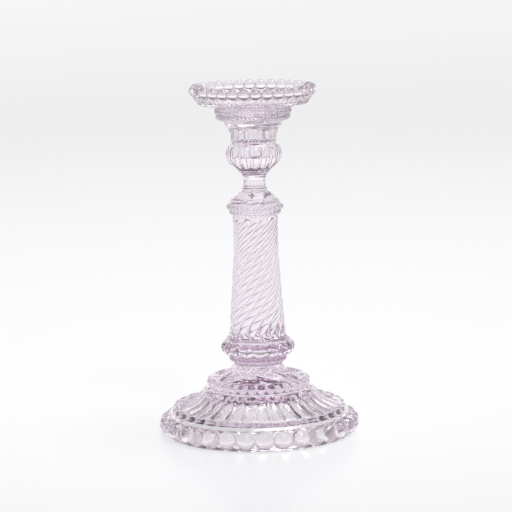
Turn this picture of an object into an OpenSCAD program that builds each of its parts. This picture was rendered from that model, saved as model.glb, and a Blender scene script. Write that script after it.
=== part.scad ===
/* [Foot] */
// Radius of the circle of large beads around the foot
foot_ring_r = 65.5; // [65.4:0.1:66]
// Radius of one large bead of the foot
foot_bead_r = 6.55; // [6.5:0.05:6.8]
// Height of the large beads' centres above the table
foot_bead_z = 7.2; // [7:0.1:8]
// Radius of the flat land the foot stands on, at its outer edge
foot_land_r = 67; // [66:0.5:68]
// Radius of the hollow underside at the table
foot_hollow_r = 60.8; // [60.4:0.1:61.5]
// Height of the foot, up to the wafer that joins it to the column
foot_h = 50.4; // [50:0.1:51]
// Radius of the waist between foot and column
waist_r = 17.6; // [17:0.1:18]
// Radius of the circle of small beads below the pedestal's disc
disc_ring_r = 33.7; // [33.5:0.1:34]
// Radius of one small bead below the pedestal's disc
disc_bead_r = 3.35; // [3.35:0.05:3.5]
// Height of the top face of the pedestal's disc
disc_top_z = 40.8; // [40.6:0.1:41.4]

/* [Column] */
// Height of the column with its shoulder and knop
column_h = 123.2; // [122:0.1:126]
// Radius of the reeded shaft at its foot, over the reeds
shaft_foot_r = 19.9; // [19.2:0.1:20]
// Radius of the reeded shaft at its head, over the reeds
shaft_head_r = 16; // [15.2:0.1:16]
// Depth of the grooves between the shaft's reeds
reed_depth = 1.4; // [0.8:0.1:1.8]
// Turn of the reeds from the shaft's foot to its head, in degrees
reed_turn = 194; // [90:2:240]
// Radius of the circle of large beads around the knop
knop_ring_r = 21; // [20.5:0.1:21.5]
// Radius of one large bead of the knop
knop_bead_r = 5.3; // [5:0.1:5.5]

/* [Neck] */
// Height of the spool of glass between column and cup
neck_h = 11; // [10.6:0.1:12]
// Radius of the neck at its narrowest
neck_r = 7.7; // [7:0.1:8.2]

/* [Candle cup] */
// Height of the cup from the neck to its flat rim
cup_h = 47.6; // [47:0.1:49]
// Radius of the cup's flat rim
cup_rim_r = 27.2; // [27:0.1:28]
// Distance from the axis to the cup's flat panels
panel_r = 14; // [13.8:0.1:14.4]
// Largest radius of the gadrooned bulb
bulb_r = 19.9; // [19.5:0.1:20.3]
// Radius of the bore that holds the candle
bore_r = 11; // [10.5:0.1:11.2]
// Depth of the candle bore below the pan's seat
bore_depth = 35; // [30:0.5:37]

/* [Drip pan] */
// Radius of the circle of beads around the pan's rim
pan_ring_r = 41.1; // [41:0.1:41.6]
// Radius of one bead of the pan's rim
pan_bead_r = 4.1; // [4.1:0.05:4.3]
// Radius of the hole for the candle through the pan
pan_hole_r = 11.6; // [11.4:0.1:12]
// Free gap between the pan and the cup
pan_gap = 0.25; // [0.15:0.05:0.4]

/* [Hidden] */
$fn = 96;

glass = [0.93, 0.84, 0.93, 0.6];
clear_glass = [0.96, 0.9, 0.96, 0.5];

bead_count = 32;
reed_count = 16;
lobe_count = 16;
panel_count = 6;
facet_count = 8;

// Levels, from the table up
wafer_t = 1.6;
column_z = foot_h + wafer_t;
column_top_z = column_z + column_h;
cup_z = column_top_z + neck_h;
cup_top_z = cup_z + cup_h;

// The column's parts: base with the knop's bead ring, shaft, head
base_h = 17.2;
head_h = 18.2;
knop_bead_h = 10.2;

// The shaft: it leaves the base in a cove, tapers up to shaft_bend_h and is straight from there
shaft_z = column_z + base_h;
shaft_h = column_h - base_h - head_h;
shaft_cove_h = 5.4;
shaft_bend_h = 62;
shaft_sunk = 0.6;
shaft_rings = 28;
reed_steps = 6;
ring_points = reed_count * reed_steps;

// Joint faces at the two ends of the neck
neck_foot_r = 8.8;
neck_head_r = 8.6;

// Recess in the cup's mouth, and the collar of the pan that sits in it
recess_r = 13.6;
recess_h = 4.5;
collar_r = recess_r - pan_gap;
collar_h = recess_h - pan_gap;
pan_z = cup_top_z + pan_gap;
pan_bead_z = pan_z + 12.05;

// Points on an arc about c, from one angle to another
function arc(c, r, from, to, steps = 6) =
    [for (i = [0:steps]) c + r * [cos(from + (to - from) * i / steps), sin(from + (to - from) * i / steps)]];

// A ring of touching beads; one bead points to the front, along -Y
module bead_ring(count, ring_r, z, r, turn = 0)
    for (i = [0:count - 1])
        rotate([0, 0, 360 * i / count + turn - 90])
            translate([ring_r, 0, z])
                sphere(r);

// Cutter for a shallow scoop that runs from one point of a profile to another with a round lower end
module scoop(from, to, r_from, r_to, depth) {
    run = to - from;
    normal = [-run.y, run.x] / norm(run);
    start = from + normal * (r_from - depth);
    end = to + normal * (r_to - depth);
    slope = atan2(end.x - start.x, end.y - start.y);
    translate([start.x, 0, start.y])
        rotate([0, slope, 0])
            cylinder(h = norm(end - start), r1 = r_from, r2 = r_to);
    translate([end.x, 0, end.y])
        sphere(r_to);
}

// Radius of the shaft over its reeds, at a height above its foot
function reed_r(h) =
    h < shaft_cove_h ? shaft_foot_r + 6.5 - sqrt(43.56 - pow(h - 4.4, 2)) :
    h < shaft_bend_h ?
        shaft_foot_r + (shaft_head_r - shaft_foot_r) * (h - shaft_cove_h) / (shaft_bend_h - shaft_cove_h) :
    shaft_head_r;

// How far a groove has run in, from 0 to 1, at a distance from its end
function run_in(d) = min(1, max(0, d / 3.5));

// Depth at a height and at u across one reed: 0 on its crest, 1 in the groove on either side
function depth_at(h, u) =
    reed_depth * (1 - sqrt(1 - 0.97 * u * u)) / 0.83 * run_in(h - 0.3) * run_in(shaft_h - 0.8 - h);

// One ring of points around the shaft: round reeds with sharp grooves between them, turned by the height
function shaft_ring(h) =
    [for (i = [0:ring_points - 1])
        let (a = 360 * i / ring_points + reed_turn * h / shaft_h,
             u = abs(2 * (i % reed_steps) / reed_steps - 1),
             r = reed_r(h) - depth_at(h, u))
        [r * cos(a), r * sin(a), h]];

module foot_body()
    rotate_extrude()
        polygon(concat(
            [[foot_hollow_r, 0], [foot_land_r, 0], [foot_land_r, 1.6], [65.6, 3.4], [65.2, 14.2]],
            [[62.8, 15.9], [62.4, 18.2], [60.8, 20.2], [57, 21.4], [53, 22.4], [48, 24.3], [44, 27], [41, 30.3],
             [39.2, 32.6], [37, 33.4]],
            [[33.2, 34], [33.2, 39.4], [34.4, 40], [34.2, disc_top_z]],
            arc([31.2, 55], 14.2, 262, 205, 6),
            [[waist_r, foot_h - 1.4], [waist_r, foot_h], [0, foot_h]],
            [[0, 32.4], [10, 32], [20, 30.2], [29, 27.8], [35.5, 25], [41, 21], [46, 18], [52, 15.6],
             [56, 13.2], [58.2, 8.6], [58.6, 3]]));

module foot()
    color(glass)
        union() {
            difference() {
                foot_body();
                for (i = [0:bead_count - 1])
                    rotate([0, 0, 360 * i / bead_count - 90])
                        scoop([42, 28], [57.5, 20.9], 4.2, 7, 1.3);
                for (i = [0:facet_count - 1])
                    rotate([0, 0, 360 * (i + 0.5) / facet_count - 90])
                        scoop([19, 47.6], [28.5, 42], 9, 12, 0.7);
            }
            bead_ring(bead_count, foot_ring_r, foot_bead_z, foot_bead_r);
            bead_ring(bead_count, disc_ring_r, disc_top_z - 3.9, disc_bead_r);
        }

module foot_wafer()
    color(clear_glass)
        translate([0, 0, foot_h])
            cylinder(h = wafer_t, r = waist_r);

module column_base()
    translate([0, 0, column_z])
        rotate_extrude()
            polygon(concat(
                [[0, 0], [waist_r, 0]],
                arc([18.2, 2.2], 2.4, 284, 400, 6),
                [[19.4, 5], [20, 8], [20, 13], [22.9, 15], [22.9, 16.8], [22.2, base_h], [0, base_h]]));

module shaft() {
    points = [for (k = [0:shaft_rings]) each shaft_ring((shaft_h + shaft_sunk) * k / shaft_rings - shaft_sunk)];
    sides = [for (k = [0:shaft_rings - 1], i = [0:ring_points - 1])
        let (a = k * ring_points + i, b = k * ring_points + (i + 1) % ring_points)
        each [[a, a + ring_points, b + ring_points], [a, b + ring_points, b]]];
    bottom = [for (i = [0:ring_points - 1]) i];
    top = [for (i = [1:ring_points]) len(points) - i];
    translate([0, 0, shaft_z])
        polyhedron(points, concat(sides, [bottom, top]));
}

module column_head()
    translate([0, 0, shaft_z + shaft_h])
        rotate_extrude()
            polygon(concat(
                [[0, -1], [shaft_head_r + 0.2, -1], [shaft_head_r + 0.2, 1]],
                [[17.4, 4], [17.9, 7], [17.7, 9.8], [16.9, 11.8], [15.6, 12.4], [14, 14], [11.8, 16.2],
                 [10.3, 17.2], [neck_foot_r + 0.3, 17.8], [neck_foot_r, head_h], [0, head_h]]));

module column()
    color(glass)
        union() {
            column_base();
            bead_ring(reed_count, knop_ring_r, column_z + knop_bead_h, knop_bead_r);
            shaft();
            column_head();
            bead_ring(bead_count, 18.4, shaft_z + shaft_h + 5.9, 2);
            bead_ring(bead_count, 16.6, shaft_z + shaft_h + 2.7, 1.9, 180 / bead_count);
        }

module neck_wafer()
    color(clear_glass)
        translate([0, 0, column_top_z])
            rotate_extrude()
                polygon([[0, 0], [neck_foot_r, 0], [neck_foot_r, 1.3], [neck_foot_r - 0.5, 1.7],
                         [neck_r + 0.15, 2.8], [neck_r, 4.4], [neck_r, 6.2], [neck_r + 0.1, 7.8],
                         [neck_r + 0.3, 9], [neck_head_r, 9.8], [neck_head_r, neck_h], [0, neck_h]]);

module cup_body()
    translate([0, 0, cup_z])
        rotate_extrude()
            polygon(concat(
                [[0, 0], [neck_head_r, 0], [9.6, 0.5], [10.5, 1.5], [11.4, 3], [12.8, 4.2]],
                arc([9.9, 14.6], bulb_r - 9.9, -65, 52, 11),
                [[16, 23], [15.9, 25.6], [16.4, 28.4], [17.3, 31.4], [18, 34], [20.4, 35.4], [20.7, 37.8],
                 [23, 38.5], [25.4, 39.4], [26.5, 40.4], [26.5, 43]],
                [[cup_rim_r, 43.6], [cup_rim_r, cup_h - 0.6], [cup_rim_r - 0.6, cup_h], [0, cup_h]]));

// Cutter for the groove between two lobes of the bulb
module bulb_groove()
    translate([9.9, 0, cup_z + 14.6])
        rotate([90, 0, 0])
            rotate_extrude(angle = 100, start = -58)
                translate([bulb_r - 9.9, 0])
                    circle(1.1, $fn = 24);

// Cutter for one flat panel of the cup's wall
module panel_cut()
    translate([panel_r, -8, cup_z + 22.6])
        cube([10, 16, 11]);

module candle_cup()
    color(glass)
        difference() {
            cup_body();
            for (i = [0:panel_count - 1])
                rotate([0, 0, 360 * i / panel_count - 90])
                    panel_cut();
            for (i = [0:lobe_count - 1])
                rotate([0, 0, 360 * (i + 0.5) / lobe_count - 90])
                    bulb_groove();
            translate([0, 0, cup_top_z - recess_h])
                cylinder(h = recess_h + 1, r = recess_r);
            translate([0, 0, cup_top_z - bore_depth])
                cylinder(h = bore_depth + 1, r = bore_r);
        }

module pan_body()
    translate([0, 0, pan_z])
        rotate_extrude()
            polygon(concat(
                [[pan_hole_r, -collar_h], [collar_r, -collar_h], [collar_r, 0], [27.2, 0]],
                [[38.2, 2.3], [39.4, 3.1], [40.2, 4.7], [41.9, 6.4], [43, 8.4], [43, 11], [40.8, 14.6],
                 [38.8, 14.6]],
                arc([34.8, 8.6], 3, 0, -84, 5),
                [[pan_hole_r + 2, 3.6], [pan_hole_r, 3]]));

module drip_pan()
    color(glass)
        union() {
            pan_body();
            bead_ring(bead_count, pan_ring_r, pan_bead_z, pan_bead_r);
        }

drip_pan();
candle_cup();
neck_wafer();
column();
foot_wafer();
foot();
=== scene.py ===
import math

import bpy
import numpy as np
from mathutils import Matrix, Vector


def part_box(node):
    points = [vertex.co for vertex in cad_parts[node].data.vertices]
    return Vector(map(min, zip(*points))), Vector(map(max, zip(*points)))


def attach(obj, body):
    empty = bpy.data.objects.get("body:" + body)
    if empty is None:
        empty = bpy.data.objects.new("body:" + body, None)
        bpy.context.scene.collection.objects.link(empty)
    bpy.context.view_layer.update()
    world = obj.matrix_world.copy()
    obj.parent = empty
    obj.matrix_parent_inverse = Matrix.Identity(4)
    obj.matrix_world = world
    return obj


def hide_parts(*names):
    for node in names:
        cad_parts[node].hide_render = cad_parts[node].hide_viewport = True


# Looks of a pressed-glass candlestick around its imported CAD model. Profiles are in millimetres, as
# (radius, height above the lowest point of their own CAD node). Angles are in degrees, 0 at the front (-Y).

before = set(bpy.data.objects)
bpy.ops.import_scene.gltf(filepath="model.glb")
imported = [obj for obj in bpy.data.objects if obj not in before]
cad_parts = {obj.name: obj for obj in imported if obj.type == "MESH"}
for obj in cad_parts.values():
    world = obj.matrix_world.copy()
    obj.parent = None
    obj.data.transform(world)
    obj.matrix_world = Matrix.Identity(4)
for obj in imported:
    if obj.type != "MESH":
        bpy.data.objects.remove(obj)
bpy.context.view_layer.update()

MM = 0.001
JOINT_GAP = 0.01  # half the gap left between two fused faces, so that they never lie in one plane
AXIS_R = 0.6  # radius of the small fan of faces that closes a skin at the axis
FLAT = 12  # longest stretch of profile between two rows on a flat face

# ---------------------------------------------------------------- profiles


def arc(centre, radius, start, end, steps):
    """Points on an arc, its ends included."""
    turns = np.radians(np.linspace(start, end, steps + 1))
    return [(centre[0] + radius * math.cos(t), centre[1] + radius * math.sin(t)) for t in turns]


def spline(points, steps):
    """A smooth curve through the points (Catmull-Rom)."""
    p = np.array([points[0], *points, points[-1]], float)
    out = []
    for i in range(1, len(p) - 2):
        for t in np.linspace(0, 1, steps, endpoint=False):
            a, b, c, d = p[i - 1 : i + 3]
            square, cube = 2 * a - 5 * b + 4 * c - d, 3 * b - a - 3 * c + d
            out.append(0.5 * (2 * b + (c - a) * t + square * t**2 + cube * t**3))
    return [tuple(q) for q in out] + [tuple(p[-1])]


def rounded(points, steps=3):
    """A polyline of (radius, height, fillet) points with its corners filleted."""
    out = [tuple(points[0][:2])]
    for before, here, after in zip(points, points[1:], points[2:]):
        fillet = here[2] if len(here) > 2 else 0
        p = np.array(here[:2], float)
        back, on = np.array(before[:2]) - p, np.array(after[:2]) - p
        len_back, len_on = np.linalg.norm(back), np.linalg.norm(on)
        if fillet <= 0 or min(len_back, len_on) < 1e-9:
            out.append(tuple(p))
            continue
        cut = min(fillet, 0.48 * len_back, 0.48 * len_on)
        a, b = p + back / len_back * cut, p + on / len_on * cut
        for t in np.linspace(0, 1, steps + 1):
            out.append(tuple((1 - t) ** 2 * a + 2 * t * (1 - t) * p + t**2 * b))
    return out + [tuple(points[-1][:2])]


def dense(points, step):
    """The same line with no stretch longer than step."""
    out = [points[0]]
    for a, b in zip(points, points[1:]):
        n = max(1, math.ceil(math.dist(a, b) / step - 1e-6))
        out += [(a[0] + (b[0] - a[0]) * i / n, a[1] + (b[1] - a[1]) * i / n) for i in range(1, n + 1)]
    return out


# ---------------------------------------------------------------- skins


BLEND = 0.25  # how softly a bead runs into the core of its ring


class Skin:
    """A closed skin swept round the axis: rows of (radius, angle, height) points, joined row to row."""

    def __init__(self, count, per):
        """Count features of so many columns each; the columns crowd together between two features."""
        self.count, self.per = count, per
        self.columns = count * per
        self.rows, self.joint = [], []
        self.twist = 0.0

    def across(self, per=None):
        """For each column, where it lies across its feature, from -1 to 1."""
        per = per or self.per
        return np.tile(np.sin(np.radians(-90 + 180 * np.arange(per) / per)), self.columns // per)

    def centres(self, per=None):
        """For each column, the angle of its feature's centre."""
        per = per or self.per
        return np.repeat(np.arange(self.columns // per), per) * 360.0 * per / self.columns

    def angles(self):
        return self.centres() + self.across() * 180.0 / self.count + self.twist

    def lathe(self, profile, step=1.0, carve=None, joint=False, twist=None):
        """Rows round a profile. carve(radius, height, angle) is how deep a point sinks below it."""
        p = np.array(dense(profile, step), float)
        run = np.gradient(p, axis=0)
        run /= np.maximum(np.linalg.norm(run, axis=1), 1e-9)[:, None]
        for (r, z), (dr, dz) in zip(p, run):
            if twist is not None:
                self.twist = twist(z)
            a = self.angles()
            sink = carve(r, z, a - self.twist) if carve else np.zeros(self.columns)
            self.rows.append(np.stack([r - sink * dz, a, z + sink * dr], 1))
            self.joint.append(joint)
        return self

    def beads(self, ring_r, z, r, first, last, rows, core, count=None, stagger=False):
        """Rows over a ring of beads joined by a core, from one elevation on the beads to another."""
        count = count or self.count
        per = self.columns // count
        shift = per // 2 if stagger else 0
        x = np.roll(self.across(per), shift)
        centre = self.centres(per)
        if stagger:
            centre = np.roll(centre, shift) + 180.0 / count
            centre[:shift] -= 360.0
        half = ring_r * math.sin(math.pi / count)
        bead = np.sqrt(np.maximum(r**2 - (x * half) ** 2, 0))
        for t in np.radians(np.linspace(first, last, rows)):
            reach = 0.5 * (bead + core + np.sqrt((bead - core) ** 2 + BLEND**2))
            out = ring_r + reach * math.cos(t)
            side = x * half + x**9 * (out * math.tan(math.pi / count) - half)
            rho = np.hypot(out, side)
            angle = centre + np.degrees(np.arctan2(side, out)) + self.twist
            self.rows.append(np.stack([rho, angle, z + reach * math.sin(t)], 1))
            self.joint.append(False)
        return self

    def build(self, name, base_z, materials, loop=False):
        """The mesh: closed at the axis at both ends, or joined end to end."""
        rows = np.array(self.rows)
        k, c = rows.shape[:2]
        turn = np.radians(rows[:, :, 1] - 90)
        points = np.stack([rows[:, :, 0] * np.cos(turn), rows[:, :, 0] * np.sin(turn), rows[:, :, 2]], 2)
        verts = points.reshape(-1, 3)
        across = np.roll(np.arange(c), -1)
        faces, joint = [], []
        for i in range(k if loop else k - 1):
            low, high = i * c, (i + 1) % k * c
            faces += [(low + j, low + n, high + n, high + j) for j, n in enumerate(across)]
            joint += [self.joint[i] and self.joint[(i + 1) % k]] * c
        if not loop:
            ends = [(0, 0, rows[0, :, 2].mean()), (0, 0, rows[-1, :, 2].mean())]
            first, last, top = len(verts), len(verts) + 1, (k - 1) * c
            verts = np.concatenate([verts, ends])
            faces += [(first, n, j) for j, n in enumerate(across)]
            faces += [(last, top + j, top + n) for j, n in enumerate(across)]
            joint += [self.joint[0]] * c + [self.joint[-1]] * c
        mesh = bpy.data.meshes.new(name)
        mesh.from_pydata((verts * MM + (0, 0, base_z)).tolist(), [], faces)
        for material in materials:
            mesh.materials.append(material)
        mesh.polygons.foreach_set("material_index", np.array(joint, np.int32) * (len(materials) > 1))
        mesh.polygons.foreach_set("use_smooth", np.ones(len(faces), bool))
        mesh.update()
        piece = bpy.data.objects.new(name, mesh)
        bpy.context.scene.collection.objects.link(piece)
        return piece


def wrapped(angle, pitch):
    """Where each angle lies between two multiples of pitch: 0 on a multiple, -1 or 1 half way."""
    return ((angle / pitch + 0.5) % 1 - 0.5) * 2


def fade(value, start, end):
    """0 before start, 1 after end, smooth between them. End may be the smaller."""
    t = np.clip((value - start) / (end - start), 0, 1)
    return t * t * (3 - 2 * t)


# ---------------------------------------------------------------- materials


def socket(node, name, value):
    node.inputs[name].default_value = value


def mathed(tree, operation, *values):
    """A Math node on sockets or numbers; returns its output."""
    node = tree.nodes.new("ShaderNodeMath")
    node.operation = operation
    for i, value in enumerate(values):
        if isinstance(value, (int, float)):
            node.inputs[i].default_value = value
        else:
            tree.links.new(value, node.inputs[i])
    return node.outputs[0]


def length_of(tree, a, b):
    """Length of a level vector."""
    squares = [mathed(tree, "MULTIPLY", part, part) for part in (a, b)]
    return mathed(tree, "SQRT", mathed(tree, "ADD", *squares))


def mapped(tree, value, from_min, from_max, to_min, to_max):
    """A value carried smoothly from one range to another, and held at its ends."""
    node = tree.nodes.new("ShaderNodeMapRange")
    node.interpolation_type = "SMOOTHSTEP"
    limits = {"From Min": from_min, "From Max": from_max, "To Min": to_min, "To Max": to_max}
    for name, number in limits.items():
        socket(node, name, number)
    tree.links.new(value, node.inputs["Value"])
    return node.outputs["Result"]


LILAC = (0.88, 0.73, 0.875, 1)
DENSITY = 6.0  # of the lilac, per metre
SURFACE_TINT = (0.995, 0.975, 0.99, 1)
GLASS_IOR = 1.52


def tinted_depths(tree, out):
    """Pale lilac absorption inside the glass."""
    depth = tree.nodes.new("ShaderNodeVolumeAbsorption")
    socket(depth, "Color", LILAC)
    socket(depth, "Density", DENSITY)
    tree.links.new(depth.outputs[0], out.inputs["Volume"])


def noise(tree, place, scale, detail):
    """Noise fixed to the piece."""
    node = tree.nodes.new("ShaderNodeTexNoise")
    socket(node, "Scale", scale)
    socket(node, "Detail", detail)
    tree.links.new(place.outputs["Object"], node.inputs["Vector"])
    return node.outputs["Fac"]


def bump(tree, height, strength, distance):
    node = tree.nodes.new("ShaderNodeBump")
    socket(node, "Strength", strength)
    socket(node, "Distance", distance)
    tree.links.new(height, node.inputs["Height"])
    return node


def glass(name, wave, ripple):
    """Fire-polished pressed glass: long waves from the mould, fine ripple and faint handling haze."""
    mat = bpy.data.materials.new(name)
    mat.use_nodes = True
    tree = mat.node_tree
    tree.nodes.clear()
    out = tree.nodes.new("ShaderNodeOutputMaterial")
    shader = tree.nodes.new("ShaderNodeBsdfPrincipled")
    socket(shader, "Base Color", SURFACE_TINT)
    socket(shader, "Transmission Weight", 1.0)
    socket(shader, "IOR", GLASS_IOR)
    place = tree.nodes.new("ShaderNodeTexCoord")
    haze = tree.nodes.new("ShaderNodeMapRange")
    for limit, value in [("From Min", 0.45), ("From Max", 0.8), ("To Min", 0.0), ("To Max", 0.03)]:
        socket(haze, limit, value)
    tree.links.new(noise(tree, place, 60, 3), haze.inputs["Value"])
    tree.links.new(haze.outputs["Result"], shader.inputs["Roughness"])
    waves = bump(tree, noise(tree, place, 90, 1), wave, 0.001)
    ripples = bump(tree, noise(tree, place, 700, 2), ripple, 0.0002)
    tree.links.new(waves.outputs["Normal"], ripples.inputs["Normal"])
    tree.links.new(ripples.outputs["Normal"], shader.inputs["Normal"])
    tree.links.new(shader.outputs[0], out.inputs["Surface"])
    tinted_depths(tree, out)
    return mat


def fused():
    """The faces where two glass pieces are fused: light goes straight through them."""
    mat = bpy.data.materials.new("fused_joint")
    mat.use_nodes = True
    tree = mat.node_tree
    tree.nodes.clear()
    out = tree.nodes.new("ShaderNodeOutputMaterial")
    clear = tree.nodes.new("ShaderNodeBsdfTransparent")
    tree.links.new(clear.outputs[0], out.inputs["Surface"])
    tinted_depths(tree, out)
    return mat


# How bright the table is painted between two distances in metres: (from, to, level before, level after)
# Painted shade, seen only in the glass: the table darkens towards the front and sides.
TABLE_FRONT_PAINTED_SHADE = (-0.7, -0.22, 0.22, 1.0)
TABLE_SIDES_PAINTED_SHADE = (0.5, 1.0, 1.0, 0.45)
# Painted pool of light: the table dims away from the candlestick, also where the camera sees it.
TABLE_PAINTED_POOL = (-0.9, 2.7, 1.07, 0.6)
TABLE_SPREAD = 0.4  # the bright part widens by this share of its depth
TABLE_WHITE = (0.4, 0.405, 0.41, 1)
# Painted glow: the table shines by itself, standing in for the light that falls on it.
TABLE_GLOW = (0.622, 0.63, 0.633, 1)
TABLE_IOR = 1.13  # low, so that the room's reflection stays faint


def table_top():
    """Glossy white table with a painted glow; seen in the glass, painted shade dims it to a dimmer room."""
    mat = bpy.data.materials.new("white_table")
    mat.use_nodes = True
    tree = mat.node_tree
    shader = tree.nodes["Principled BSDF"]
    socket(shader, "IOR", TABLE_IOR)
    clouds = tree.nodes.new("ShaderNodeTexNoise")
    socket(clouds, "Scale", 3)
    rough = tree.nodes.new("ShaderNodeMapRange")
    socket(rough, "To Min", 0.16)
    socket(rough, "To Max", 0.24)
    tree.links.new(clouds.outputs["Fac"], rough.inputs["Value"])
    tree.links.new(rough.outputs["Result"], shader.inputs["Roughness"])
    place = tree.nodes.new("ShaderNodeTexCoord")
    parts = tree.nodes.new("ShaderNodeSeparateXYZ")
    tree.links.new(place.outputs["Object"], parts.inputs[0])
    side, ahead, _ = parts.outputs
    beside = mathed(tree, "MULTIPLY_ADD", ahead, -TABLE_SPREAD, mathed(tree, "ABSOLUTE", side))
    # Painted shade towards the front and sides; camera rays see the table without it.
    edge = mathed(tree, "MINIMUM", mapped(tree, ahead, *TABLE_FRONT_PAINTED_SHADE), mapped(tree, beside, *TABLE_SIDES_PAINTED_SHADE))
    seen = tree.nodes.new("ShaderNodeLightPath")
    painted_light = mathed(tree, "MAXIMUM", edge, seen.outputs["Is Camera Ray"])
    away = length_of(tree, side, ahead)
    # Painted pool of light: dimmer with distance from the candlestick.
    painted_light = mathed(tree, "MULTIPLY", painted_light, mapped(tree, away, *TABLE_PAINTED_POOL))
    # The painted light and shade set both the white and the painted glow.
    for level, name in [(TABLE_WHITE, "Base Color"), (TABLE_GLOW, "Emission Color")]:
        tone = tree.nodes.new("ShaderNodeMix")
        tone.data_type = "RGBA"
        socket(tone, "A", (0, 0, 0, 1))
        socket(tone, "B", level)
        tree.links.new(painted_light, tone.inputs["Factor"])
        tree.links.new(tone.outputs["Result"], shader.inputs[name])
    socket(shader, "Emission Strength", 1)
    return mat


# ---------------------------------------------------------------- pieces

FUSED = fused()
BEADS = 32
RIBS = 64
FOOT_COLUMNS = 20  # per bead


def face(outer, middle, height):
    """Points along a flat face, from the axis outwards."""
    return [(AXIS_R, height), (middle, height), (outer, height)]


def make_foot():
    """Domed foot: hollow below, rim of large beads, fluted dome, small bead ring, faceted pedestal."""
    ring_r, bead_r, bead_z = 65.5, 6.4, 7.2
    disc_r, disc_bead_r, disc_bead_z = 33.7, 3.35, 36.9
    top = (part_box("foot")[1].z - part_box("foot")[0].z) / MM
    waist_r = 17.6

    def flutes(r, z, angle):
        """Round-ended channels down the dome, one over each bead."""
        u = wrapped(angle, 360 / BEADS)
        width = 0.86
        across = np.clip(1 - (u / width) ** 2, 0, 1) ** 0.7
        start = 37.8 + 2.0 * (u / width) ** 2
        end = 61.9 - 3.0 * np.clip(np.abs(u / width), 0, 1) ** 2.4
        depth = 1.2 + 1.1 * fade(r, 42, 58)
        return depth * across * fade(r, start, start + 4.0) * fade(r, end, end - 1.8)

    def facets(r, z, angle):
        """Eight hollow facets of the pedestal, swirling a little as they rise."""
        u = wrapped(angle - 22.5 + (z - 41) * 2.4, 45)
        hollow = 2.3 * (1 - np.abs(u) ** 1.5) * fade(r, 34.0, 29.5) * fade(z, top - 0.6, top - 4.5)
        return hollow - 0.25 * np.abs(u) ** 8

    skin = Skin(BEADS, FOOT_COLUMNS)
    under = spline([(AXIS_R, 32.4), (10, 32), (20, 30.2), (29, 27.8), (35.5, 25), (41, 21), (46, 18),
                    (52, 15.4), (56.4, 12.6), (58.6, 8), (59.6, 3)], 3)
    skin.lathe(under, 3.0)
    land = [(60.2, 1.4), (60.8, 0.25, 0.6), (63.6, 0), (66.9, 0.3, 0.7), (67, 1.5, 0.5), (64.4, 1.8)]
    skin.lathe(rounded(land), 2.2)
    skin.beads(ring_r, bead_z, bead_r, -108, 112, 25, 0.5)
    ledge = [(63.4, 13.5), (64.9, 13.9, 0.5), (64.8, 14.6, 0.4), (63.2, 15.7, 0.6), (62.6, 16.4)]
    skin.lathe(rounded(ledge), 1.2)
    dome = spline([(62.4, 17.6), (61.9, 18.9), (60.8, 20.1), (57, 21.4), (53, 22.4), (48, 24.3), (44, 27),
                   (41, 30.3), (39.2, 32.4), (37.4, 33.3), (35.6, 33.7)], 6)
    skin.lathe(dome, 0.95, flutes)
    skin.beads(disc_r, disc_bead_z, disc_bead_r, -72, 70, 13, 0.3)
    skin.lathe(rounded([(34.4, 40.1), (34.1, top - 9.6, 0.4), (33.2, top - 9.5)]), 1.2)
    cove = arc((31.2, 55), 14.2, 266, 205, 26)
    skin.lathe(cove + [(waist_r, top - 1.0), (waist_r, top - 0.2)], 1.2, facets)
    skin.lathe(face(waist_r - 0.15, 9, top - JOINT_GAP)[::-1], FLAT, joint=True)
    return skin.build("beaded_foot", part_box("foot")[0].z, [glass("foot_glass", 0.10, 0.05), FUSED])


def make_foot_wafer():
    """Short disc of glass that joins foot and column."""
    low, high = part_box("foot_wafer")
    r, h = 17.6, (high.z - low.z) / MM
    skin = Skin(BEADS, 8)
    skin.lathe(face(r - 0.15, 9, JOINT_GAP), FLAT, joint=True)
    skin.lathe(arc((r - 0.35, h / 2), h * 0.45, -66, 66, 6), 1)
    skin.lathe(face(r - 0.15, 9, h - JOINT_GAP)[::-1], FLAT, joint=True)
    return skin.build("foot_wafer_glass", low.z, [glass("wafer_glass", 0.08, 0.04), FUSED])


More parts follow.
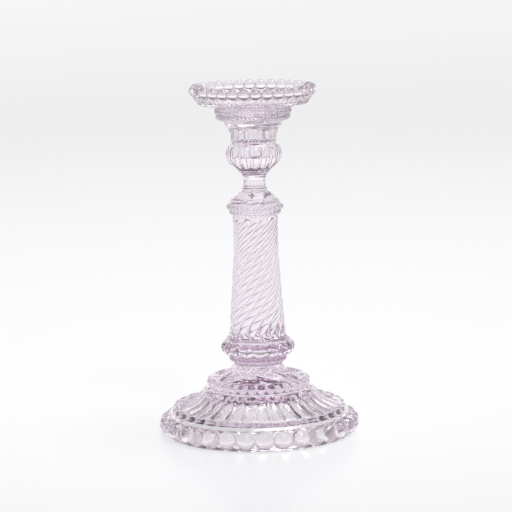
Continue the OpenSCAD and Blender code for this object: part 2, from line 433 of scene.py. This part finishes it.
def make_column():
    """Column: knop with a ring of tall beads, shaft of twisted reeds, beaded capital."""
    shaft_z, shaft_h, bend = 23.0, 82.0, 56.0
    foot_r, head_r, turn = 19.9, 16.0, 194.0
    waist_r, neck_r = 17.6, 8.8
    low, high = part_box("column")
    top = (high.z - low.z) / MM
    reeds = 16
    cap_z = shaft_z + shaft_h
    ring_top = 17.2

    def shaft_r(h):
        """The shaft tapers up to the bend and is straight above it."""
        return foot_r + (head_r - foot_r) * min(h / bend, 1)

    def grooves(r, z, angle):
        """Sharp grooves between round reeds, with pointed ends."""
        u = np.abs(wrapped(angle, 360 / reeds))
        start, end = ring_top + 0.3, cap_z - 0.8
        return 1.7 * (1 - np.sqrt(1 - 0.97 * u**2)) * fade(z, start, start + 3.5) * fade(z, end, end - 3.5)

    def twist(z):
        """How far the reeds have turned at a height."""
        return 180 / reeds + turn * (z - ring_top) / (cap_z - ring_top)

    skin = Skin(reeds, 32)
    skin.lathe(face(waist_r - 0.15, 9, JOINT_GAP), FLAT, joint=True)
    skin.beads(18.1, 2.35, 2.5, -64, 58, 9, 1.6, count=BEADS)
    skin.lathe(rounded([(19.1, 4.5), (19.0, 4.9, 0.4), (19.8, 5.2)]), 1)
    skin.beads(21.0, 10.2, 5.3, -68, 60, 17, 0.9)
    skin.lathe(rounded([(22.3, 15.0), (22.9, 15.3, 0.4), (22.9, 16.6, 0.6), (21.9, ring_top)]), 1)
    shaft = arc((26.4, 21.6), 6.6, 222, 178, 6)
    shaft += [(shaft_r(h), shaft_z + h) for h in np.linspace(0.6, shaft_h, 84)]
    skin.lathe(shaft, 1.1, grooves, twist=twist)
    skin.twist = round(skin.twist * BEADS / 360) * 360 / BEADS  # the bead rings above take up a whole pitch
    skin.lathe([(head_r + 0.1, cap_z + 0.3), (head_r + 0.3, cap_z + 0.7)], 1)
    skin.beads(16.6, cap_z + 2.7, 1.9, -70, 66, 8, 0.5, count=BEADS, stagger=True)
    skin.lathe(rounded([(17.6, cap_z + 4.3), (18.2, cap_z + 4.45, 0.1), (18.2, cap_z + 4.6)]), 1)
    skin.beads(18.4, cap_z + 6.1, 1.9, -52, 66, 8, 0.5, count=BEADS)
    cap = [(18.6, cap_z + 8.0), (18.5, cap_z + 8.5, 0.3), (17.9, cap_z + 9.3, 0.3), (17.6, cap_z + 10.6, 0.3),
           (16.8, cap_z + 11.9, 0.5), (15.6, cap_z + 12.4, 0.3), (14.9, cap_z + 12.8)]
    skin.lathe(rounded(cap), 0.9)
    shoulder = [(14.2, cap_z + 13.7), (11.9, cap_z + 16.0), (10.1, cap_z + 17.2), (neck_r, top - 0.2)]
    skin.lathe(spline(shoulder, 4), 1)
    skin.lathe([(neck_r - 0.15, top - JOINT_GAP), (AXIS_R, top - JOINT_GAP)], FLAT)
    return skin.build("twisted_column", low.z, [glass("column_glass", 0.10, 0.05), FUSED])


def make_neck():
    """Spool of glass between column and cup, with a small ring at each end."""
    low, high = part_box("neck_wafer")
    h = (high.z - low.z) / MM
    foot_r, head_r, slim_r = 8.8, 8.6, 7.7
    skin = Skin(BEADS, 8)
    skin.lathe([(AXIS_R, JOINT_GAP), (foot_r - 0.9, JOINT_GAP)], FLAT)
    skin.lathe(arc((foot_r - 0.8, 0.8), 0.79, -80, 50, 6), 1)
    waist = [(slim_r + 0.4, 1.75), (slim_r + 0.1, 2.8), (slim_r, 4.6), (slim_r, 6.4), (slim_r + 0.1, 7.9),
             (slim_r + 0.35, h - 1.9)]
    skin.lathe(spline(waist, 4), 1)
    skin.lathe(arc((head_r - 0.75, h - 0.8), 0.74, -50, 70, 5), 1)
    skin.lathe(face(7.9, 5, h - JOINT_GAP)[::-1], FLAT, joint=True)
    return skin.build("neck_spool", low.z, [glass("neck_glass", 0.08, 0.04), FUSED])


def make_cup():
    """Candle cup: lobed bulb, six arched panels, beaded rim, recess for the pan and the candle's bore."""
    low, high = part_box("candle_cup")
    h = (high.z - low.z) / MM
    bore_r, recess_r = 11.0, 13.6
    bore_floor, recess_floor = h - 34.8, h - 4.5
    lobes, panels = 16, 6
    panel_r, panel_half = 14.0, 7.7

    def gadroons(r, z, angle):
        """Round lobes with rounded tips at both ends."""
        u = np.abs(wrapped(angle, 360 / lobes))
        up = fade(z, 2.2 + 1.5 * u**2, 6.0 + 2.0 * u**2) * fade(z, 23.4 - 1.5 * u**2, 20.6 - 1.5 * u**2)
        return 1.8 * (1 - np.sqrt(np.maximum(1 - 0.96 * u**2, 0))) * up

    def arches(r, z, angle):
        """Flat panels with arched heads."""
        off = wrapped(angle, 360 / panels) * 180 / panels
        side = r * np.sin(np.radians(off))
        flat = panel_r / np.cos(np.radians(off))
        head = 33.4 - 2.2 * np.clip(np.abs(side) / panel_half, 0, 1.2) ** 2
        inside = fade(np.abs(side), panel_half + 0.35, panel_half - 0.25) * fade(z, head + 0.5, head - 0.5)
        inside = inside * fade(z, 22.3, 23.6)
        return np.maximum(r - flat, 0) * inside

    def rim_ribs(r, z, angle):
        """Fine upright ribs round the flat rim."""
        u = np.abs(wrapped(angle, 360 / RIBS))
        return 0.35 * u**1.5 * fade(z, 43.5, 44.2) * fade(z, h - 0.3, h - 0.9)

    skin = Skin(lobes, 36)
    skin.lathe(face(7.9, 5, JOINT_GAP), FLAT, joint=True)
    stem = [(8.4, JOINT_GAP), (9.5, 0.5), (10.5, 1.5), (11.4, 3.0), (12.7, 4.2), (14.0, 5.3)]
    skin.lathe(spline(stem, 3), 1, gadroons)
    skin.lathe(arc((9.9, 14.6), 10.0, -63, 50, 24), 1, gadroons)
    wall = [(16.15, 22.9), (15.9, 25.6), (16.4, 28.4), (17.3, 31.4), (18.0, 33.9)]
    skin.lathe(spline(wall, 7), 0.6, arches)
    lip = [(18.4, 34.2), (20.3, 35.3, 0.7), (20.8, 37.4, 0.7), (23, 38.4, 0.5), (24.9, 39.1)]
    skin.lathe(rounded(lip), 0.9)
    skin.beads(24.9, 41.3, 1.75, -78, 70, 9, 0.4, count=RIBS)
    rim = [(26.3, 43.2), (27.1, 43.6, 0.2), (27.15, h - 0.1, 0.6), (25.5, h - 0.1)]
    skin.lathe(rounded(rim), 0.8, rim_ribs)
    mouth = [(24, h - 0.1), (recess_r + 0.1, h - 0.1, 0.5), (recess_r + 0.1, recess_floor, 0.3),
             (bore_r + 0.1, recess_floor, 0.5), (bore_r + 0.1, bore_floor, 1.2), (AXIS_R, bore_floor)]
    skin.lathe(rounded(mouth), 2.4)
    return skin.build("candle_cup_glass", low.z, [glass("cup_glass", 0.09, 0.04), FUSED])


def make_pan():
    """Drip pan: a ring of whole round beads on a shallow dish with a ribbed shoulder and a collar below."""
    low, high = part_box("drip_pan")
    seat = 4.25
    ring_r, bead_r, bead_z = 41.1, 4.1, seat + 12.04
    hole_r, collar_r = 11.6, 13.35

    def ribs(r, z, angle):
        """Fine upright ribs round the shoulder."""
        u = np.abs(wrapped(angle, 360 / RIBS))
        return 0.75 * u**1.5 * fade(z, seat + 2.3, seat + 3.2) * fade(z, seat + 7.6, seat + 6.8)

    skin = Skin(BEADS, FOOT_COLUMNS)
    below = [(hole_r, 3.0), (hole_r, 0, 0.5), (collar_r, 0, 0.5), (collar_r, seat, 0.3), (27.0, seat, 0.6),
             (38.2, seat + 2.3)]
    skin.lathe(rounded(below), 2.4)
    shoulder = [(38.9, seat + 2.5), (39.4, seat + 3.2), (40.2, seat + 4.7), (41.7, seat + 6.4),
                (42.3, seat + 7.8)]
    skin.lathe(spline(shoulder, 3), 0.8, ribs)
    skin.beads(ring_r, bead_z, bead_r, -66, 238, 34, 0.9)
    skin.lathe(arc((34.8, seat + 8.4), 3.1, 0, -84, 6) + [(hole_r + 2, seat + 3.6)], 2.4)
    skin.lathe(rounded([(hole_r + 1.6, seat + 3.55), (hole_r, seat + 3, 0.8), (hole_r, seat)]), 2.4)
    return skin.build("beaded_drip_pan", low.z, [glass("pan_glass", 0.08, 0.04)], loop=True)


# ---------------------------------------------------------------- stage


def aim(thing, place, target, roll=0.0):
    thing.location = place
    turn = (Vector(target) - Vector(place)).to_track_quat("-Z", "Y")
    thing.rotation_mode = "QUATERNION"
    thing.rotation_quaternion = turn @ Matrix.Rotation(math.radians(roll), 3, "Z").to_quaternion()


def make_camera():
    """Long lens, a little above the pan, looking slightly down."""
    away, height, side, pitch, roll = 1.616, 0.3832, 2.85, 9.0, -1.2
    lens = bpy.data.cameras.new("camera")
    lens.lens = 161.4
    lens.clip_end = 60
    camera = bpy.data.objects.new("camera", lens)
    bpy.context.scene.collection.objects.link(camera)
    place = (-away * math.sin(math.radians(side)), -away * math.cos(math.radians(side)), height)
    aim(camera, place, (0, 0, height - away * math.tan(math.radians(pitch))), roll)
    bpy.context.scene.camera = camera


def make_floor():
    """A wide round table, larger than any view of it."""
    reach, steps = 14.0, 96
    ring = [(*point, 0) for point in arc((0, 0), reach, 0, 360 - 360 / steps, steps - 1)]
    mesh = bpy.data.meshes.new("floor")
    mesh.from_pydata(ring, [], [tuple(range(steps))])
    mesh.materials.append(table_top())
    floor = bpy.data.objects.new("floor", mesh)
    bpy.context.scene.collection.objects.link(floor)


def ramped(tree, value, stops):
    """A piecewise smooth curve of brightness over value, which runs from 0 to 1."""
    ramp = tree.nodes.new("ShaderNodeValToRGB")
    ramp.color_ramp.interpolation = "EASE"
    while len(ramp.color_ramp.elements) < len(stops):
        ramp.color_ramp.elements.new(0.5)
    for element, (at, level) in zip(ramp.color_ramp.elements, stops):
        element.position = at
        element.color = (level, level**1.14, level**1.03, 1)  # the room's dark parts are a little mauve
    tree.links.new(value, ramp.inputs[0])
    return ramp.outputs[0]


# Brightness of the studio: walls from the front (0) to the back (1), ceiling from the horizon (0) up (1)
WALLS = [(0.0, 0.3), (0.3, 0.34), (0.5, 0.55), (0.75, 0.8), (1.0, 0.92)]
CEILING = [(0.0, 1.0), (0.22, 1.0), (0.5, 0.22), (1.0, 0.08)]
BACKDROP = (0.8, 0.805, 0.82, 1)  # what shows beyond the table
STUDIO_STRENGTH = 1.15


def make_world():
    """A studio round the table: bright behind the candlestick, grey in front, dim overhead."""
    world = bpy.data.worlds.new("studio")
    bpy.context.scene.world = world
    world.use_nodes = True
    tree = world.node_tree
    background = tree.nodes["Background"]
    place = tree.nodes.new("ShaderNodeTexCoord")
    parts = tree.nodes.new("ShaderNodeSeparateXYZ")
    tree.links.new(place.outputs["Generated"], parts.inputs[0])
    x, y, z = parts.outputs
    ahead = mathed(tree, "DIVIDE", y, mathed(tree, "MAXIMUM", length_of(tree, x, y), 0.001))
    round_about = mathed(tree, "MULTIPLY_ADD", ahead, 0.5, 0.5)  # 0 in front, 1 behind
    walls = ramped(tree, round_about, WALLS)
    ceiling = ramped(tree, z, CEILING)
    mix = tree.nodes.new("ShaderNodeMix")
    mix.data_type = "RGBA"
    mix.blend_type = "MULTIPLY"
    mix.inputs["Factor"].default_value = 1
    tree.links.new(walls, mix.inputs["A"])
    tree.links.new(ceiling, mix.inputs["B"])
    seen = tree.nodes.new("ShaderNodeLightPath")
    show = tree.nodes.new("ShaderNodeMix")
    show.data_type = "RGBA"
    show.inputs["B"].default_value = BACKDROP
    socket(background, "Strength", STUDIO_STRENGTH)
    tree.links.new(seen.outputs["Is Camera Ray"], show.inputs["Factor"])
    tree.links.new(mix.outputs["Result"], show.inputs["A"])
    tree.links.new(show.outputs["Result"], background.inputs["Color"])


def make_lights():
    """A broad overhead light and a small key light for the sparkle on the beads."""
    for name, strength, spread, place in [
        ("overhead", 1.5, 34, (0.22, -0.05, 1.0)),
        ("key", 0.3, 9, (0.35, -0.8, 1.0)),
    ]:
        sun = bpy.data.lights.new(name, "SUN")
        sun.energy = strength
        sun.angle = math.radians(spread)
        light = bpy.data.objects.new(name, sun)
        bpy.context.scene.collection.objects.link(light)
        aim(light, place, (0, 0, 0))


def make_object():
    """Every glass piece, on its body and in place of its CAD node."""
    for make, node, body, slot in [
        (make_pan, "drip_pan", "pan", "pan_glass"),
        (make_cup, "candle_cup", "stick", "cup_glass"),
        (make_neck, "neck_wafer", "stick", "cup_glass"),
        (make_column, "column", "stick", "column_glass"),
        (make_foot_wafer, "foot_wafer", "stick", "column_glass"),
        (make_foot, "foot", "stick", "foot_glass"),
    ]:
        piece = make()
        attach(piece, body)
        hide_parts(node)


def set_render():
    """Pale high-key picture, and enough bounces for light to leave the thick glass again."""
    scene = bpy.context.scene
    scene.view_settings.view_transform = "Standard"
    scene.view_settings.gamma = 0.9
    scene.cycles.max_bounces = 28
    scene.cycles.transmission_bounces = 28
    scene.cycles.glossy_bounces = 16
    scene.cycles.transparent_max_bounces = 16


make_camera()
make_object()
make_floor()
make_world()
make_lights()
set_render()
